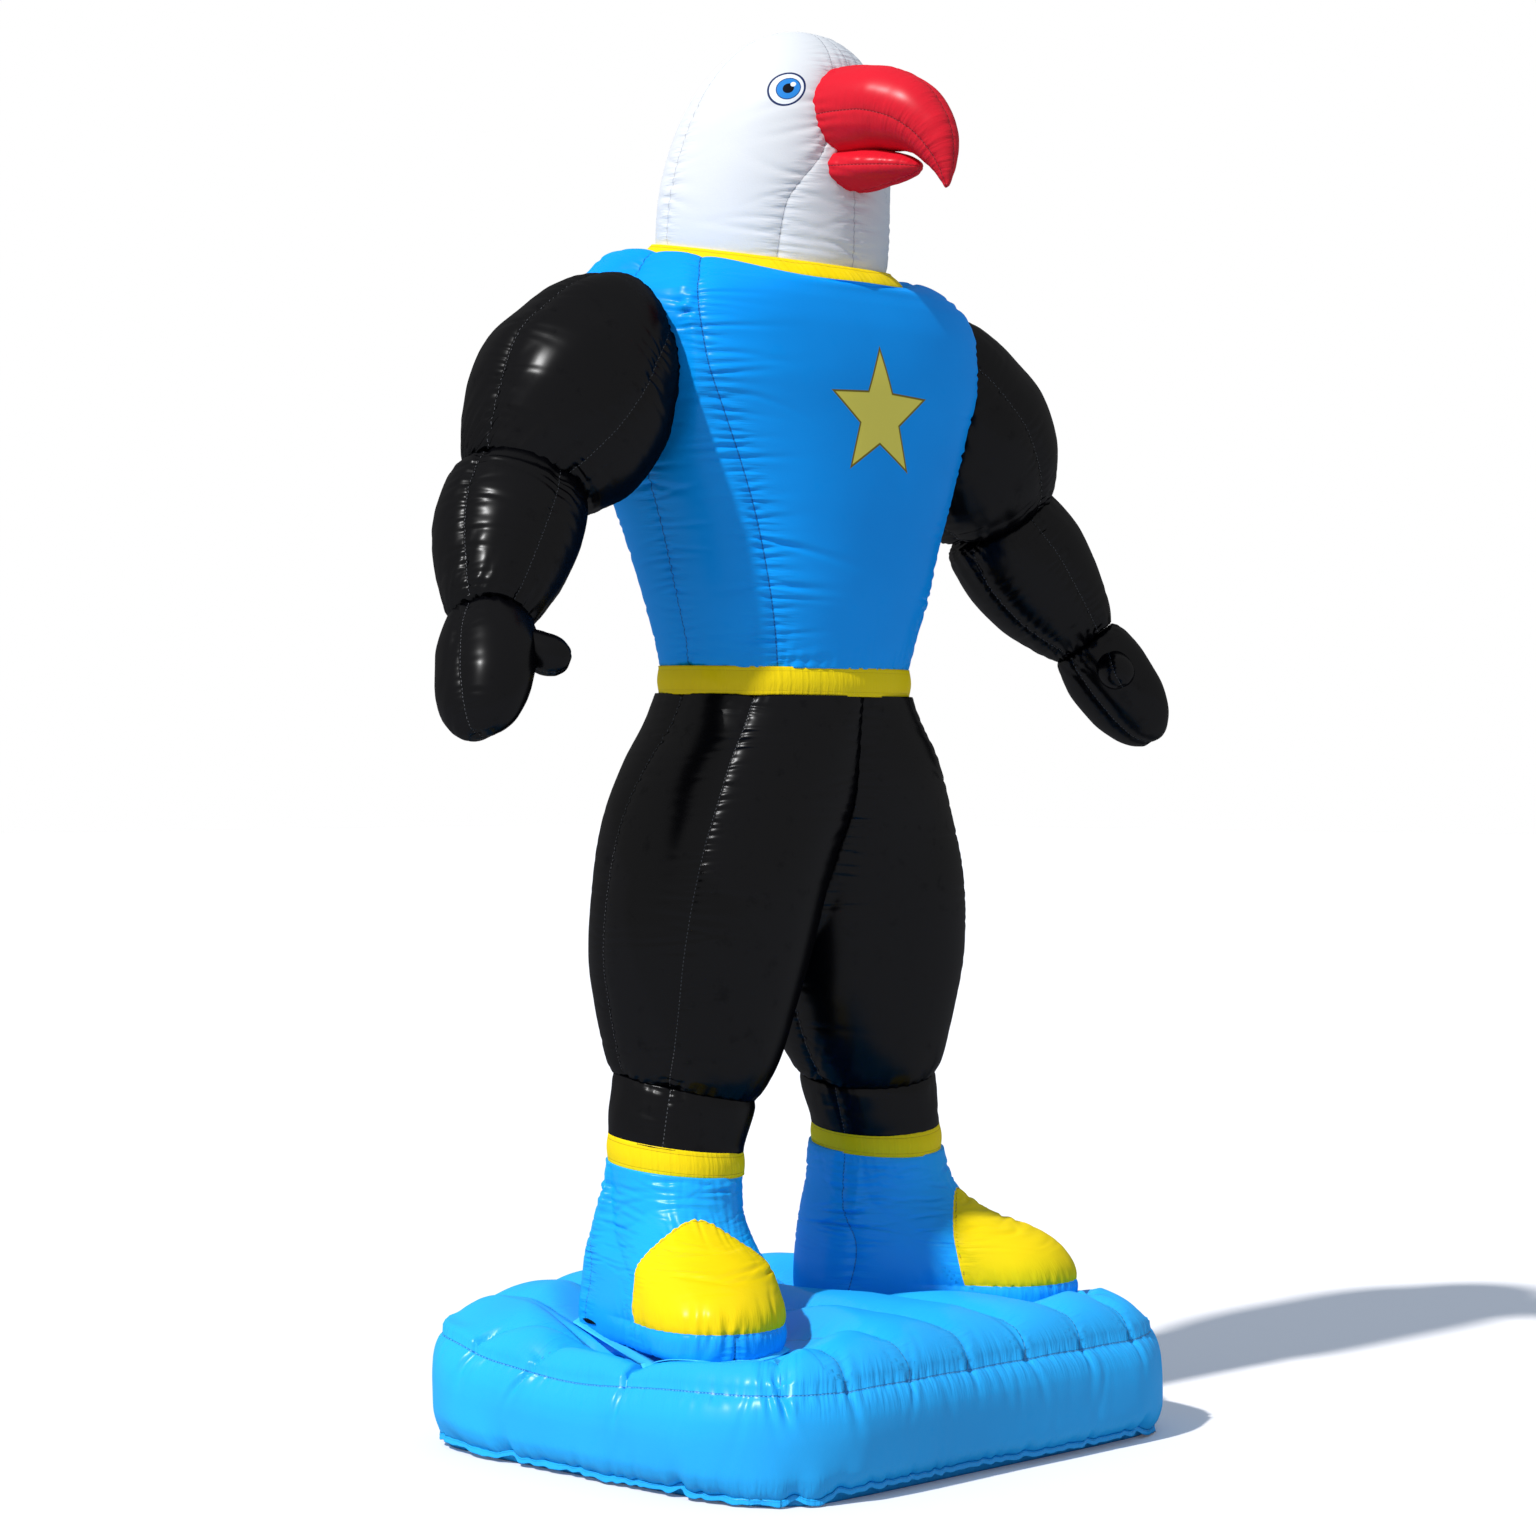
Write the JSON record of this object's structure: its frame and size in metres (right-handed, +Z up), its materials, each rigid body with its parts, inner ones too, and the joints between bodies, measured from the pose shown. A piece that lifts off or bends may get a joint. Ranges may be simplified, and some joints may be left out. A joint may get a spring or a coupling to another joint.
{
  "type": "inflatable eagle figure on a mattress base",
  "caption": "Air-filled standing eagle figure in coated cloth, arms held out, with belt, boots and hooked beak, sewn to a channelled mattress base.",
  "frame": {"origin": "middle of the base's underside, on the ground", "axes": "+Z up, the figure faces -Y, its right hand is at -X"},
  "size_m": [2.1512, 1.172, 3],
  "materials": {
    "base_cloth": "satin-gloss coated cloth with a fine leather-like grain, sewn seams and puckers",
    "blue_cloth": "satin-gloss coated cloth with a fine leather-like grain, sewn seams and puckers",
    "yellow_cloth": "satin-gloss coated cloth with a fine leather-like grain, sewn seams and puckers",
    "black_cloth": "satin-gloss coated cloth with a fine leather-like grain, sewn seams and puckers",
    "white_cloth": "satin-gloss coated cloth with a fine leather-like grain, sewn seams and puckers",
    "red_cloth": "satin-gloss coated cloth with a fine leather-like grain, sewn seams and puckers"
  },
  "bodies": {
    "root": {"base": "base_cloth", "boot_right": "blue_cloth", "boot_left": "blue_cloth", "toe_cap_right": "yellow_cloth", "toe_cap_left": "yellow_cloth", "cuff_right": "yellow_cloth", "cuff_left": "yellow_cloth", "ankle_right": "black_cloth", "ankle_left": "black_cloth", "leg_right": "black_cloth", "leg_left": "black_cloth", "belt": "yellow_cloth", "torso": "blue_cloth", "neck_trim": "yellow_cloth", "head": "white_cloth", "beak_upper": "red_cloth", "beak_lower": "red_cloth", "upper_arm_right": "black_cloth", "upper_arm_left": "black_cloth", "forearm_right": "black_cloth", "forearm_left": "black_cloth", "hand_right": "black_cloth", "hand_left": "black_cloth", "thumb_right": "black_cloth", "thumb_left": "black_cloth"}
  },
  "joints": []
}
